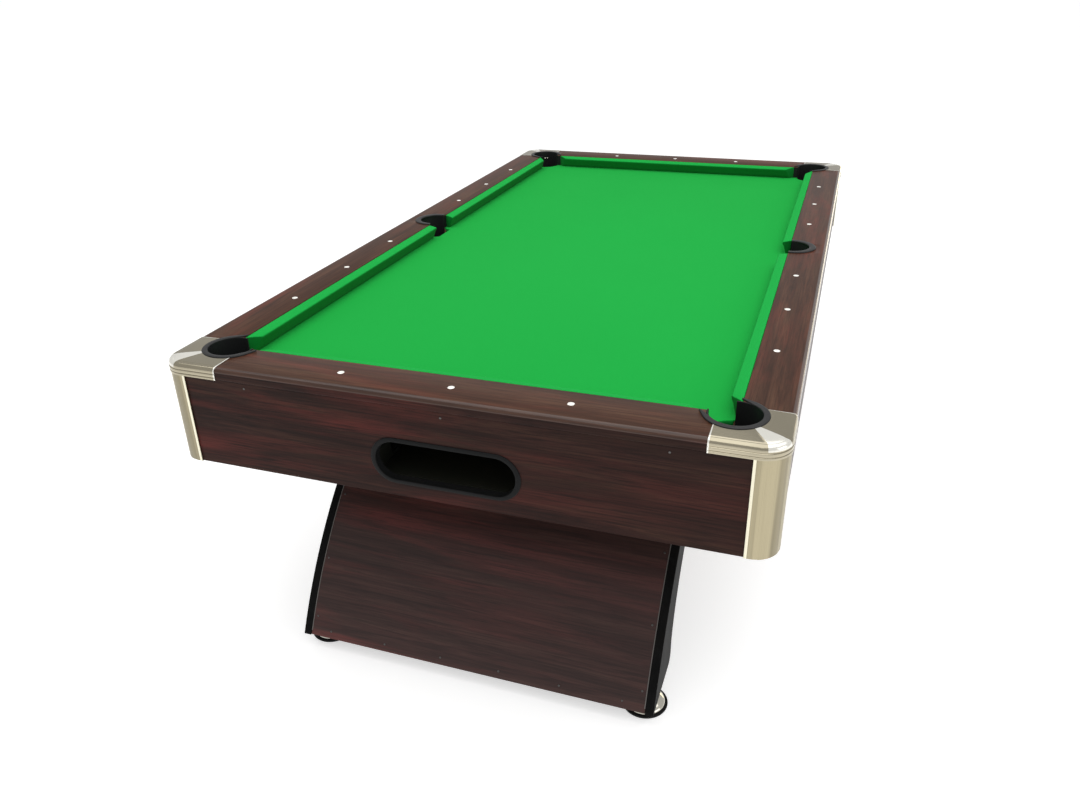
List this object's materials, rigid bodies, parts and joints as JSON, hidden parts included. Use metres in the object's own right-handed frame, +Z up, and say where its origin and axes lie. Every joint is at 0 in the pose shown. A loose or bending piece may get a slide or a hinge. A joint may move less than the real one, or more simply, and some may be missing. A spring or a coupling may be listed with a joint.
{
  "type": "pool table",
  "caption": "Pool table on curved pedestals: green cloth bed, cushioned rails, pockets with liners, ball return tray and levelling feet.",
  "frame": {"origin": "on the floor, under the middle of the table", "axes": "+Z up; +Y along the table's length, away from the ball return; +X across the table, to the right of someone facing the ball return"},
  "size_m": [1.37, 2.49, 0.8],
  "materials": {
    "mahogany": "dark mahogany laminate with a satin clear coat",
    "board": "raw particle board and fibreboard",
    "cloth": "bright green napped pool cloth",
    "cushion_cloth": "rubber cushion wrapped in the same green pool cloth",
    "nickel": "champagne nickel plate, brushed on the posts and polished on the caps",
    "black_plastic": "black moulded plastic",
    "black_board": "black laminated board",
    "chrome": "polished chrome with a warm tone",
    "rubber": "black rubber",
    "sight": "white plastic inlay dots on the rails",
    "screw": "black countersunk screws"
  },
  "bodies": {
    "table": {"bed_panel": "board", "bed_cloth": "cloth", "rail_right": "mahogany", "rail_left": "mahogany", "rail_far": "mahogany", "rail_near": "mahogany", "cushion_near": "cushion_cloth", "cushion_far": "cushion_cloth", "cushion_right_near": "cushion_cloth", "cushion_right_far": "cushion_cloth", "cushion_left_near": "cushion_cloth", "cushion_left_far": "cushion_cloth", "pocket_liner_near_right": "black_plastic", "pocket_liner_far_right": "black_plastic", "pocket_liner_far_left": "black_plastic", "pocket_liner_near_left": "black_plastic", "pocket_liner_side_right": "black_plastic", "pocket_liner_side_left": "black_plastic", "corner_cap_near_right": "nickel", "corner_cap_far_right": "nickel", "corner_cap_far_left": "nickel", "corner_cap_near_left": "nickel", "corner_post_near_right": "nickel", "corner_post_far_right": "nickel", "corner_post_far_left": "nickel", "corner_post_near_left": "nickel", "apron_near": "mahogany", "apron_far": "mahogany", "apron_right": "mahogany", "apron_left": "mahogany", "ball_return_bezel": "black_plastic", "ball_tray": "black_plastic", "ball_gully_right": "black_plastic", "ball_gully_left": "black_plastic", "frame_beam_right": "board", "frame_beam_left": "board", "cross_board_near": "board", "cross_board_middle": "board", "cross_board_far": "board", "pedestal_near_side_right": "black_board", "pedestal_near_side_left": "black_board", "pedestal_near_outer_panel": "mahogany", "pedestal_near_inner_panel": "black_board", "pedestal_near_top_plate": "board", "pedestal_near_base_plate": "board", "pedestal_far_side_right": "black_board", "pedestal_far_side_left": "black_board", "pedestal_far_outer_panel": "mahogany", "pedestal_far_inner_panel": "black_board", "pedestal_far_top_plate": "board", "pedestal_far_base_plate": "board"},
    "pad_near_right": {"foot_pad_near_right": "rubber"},
    "foot_near_right": {"foot_disc_near_right": "chrome"},
    "pad_far_right": {"foot_pad_far_right": "rubber"},
    "foot_far_right": {"foot_disc_far_right": "chrome"},
    "pad_far_left": {"foot_pad_far_left": "rubber"},
    "foot_far_left": {"foot_disc_far_left": "chrome"},
    "pad_near_left": {"foot_pad_near_left": "rubber"},
    "foot_near_left": {"foot_disc_near_left": "chrome"}
  },
  "joints": [
    {"name": "leveller_near_right_extend", "type": "slide", "parent": "table", "child": "pad_near_right", "axis": [0, 0, -1], "range_m": [0, 0.02]},
    {"name": "leveller_near_right_screw", "type": "hinge", "parent": "pad_near_right", "child": "foot_near_right", "pos_m": [0.42, -1.122, 0.007], "axis": [0, 0, -1], "range_deg": [-180, 4140]},
    {"name": "leveller_far_right_extend", "type": "slide", "parent": "table", "child": "pad_far_right", "axis": [0, 0, -1], "range_m": [0, 0.02]},
    {"name": "leveller_far_right_screw", "type": "hinge", "parent": "pad_far_right", "child": "foot_far_right", "pos_m": [0.42, 1.122, 0.007], "axis": [0, 0, -1], "range_deg": [-180, 4140]},
    {"name": "leveller_far_left_extend", "type": "slide", "parent": "table", "child": "pad_far_left", "axis": [0, 0, -1], "range_m": [0, 0.02]},
    {"name": "leveller_far_left_screw", "type": "hinge", "parent": "pad_far_left", "child": "foot_far_left", "pos_m": [-0.42, 1.122, 0.007], "axis": [0, 0, -1], "range_deg": [-180, 4140]},
    {"name": "leveller_near_left_extend", "type": "slide", "parent": "table", "child": "pad_near_left", "axis": [0, 0, -1], "range_m": [0, 0.02]},
    {"name": "leveller_near_left_screw", "type": "hinge", "parent": "pad_near_left", "child": "foot_near_left", "pos_m": [-0.42, -1.122, 0.007], "axis": [0, 0, -1], "range_deg": [-180, 4140]}
  ],
  "couplings": [
    {"joint": "leveller_near_right_screw", "follows": "leveller_near_right_extend", "rad_per_m": 3590.4},
    {"joint": "leveller_far_right_screw", "follows": "leveller_far_right_extend", "rad_per_m": 3590.4},
    {"joint": "leveller_far_left_screw", "follows": "leveller_far_left_extend", "rad_per_m": 3590.4},
    {"joint": "leveller_near_left_screw", "follows": "leveller_near_left_extend", "rad_per_m": 3590.4}
  ]
}
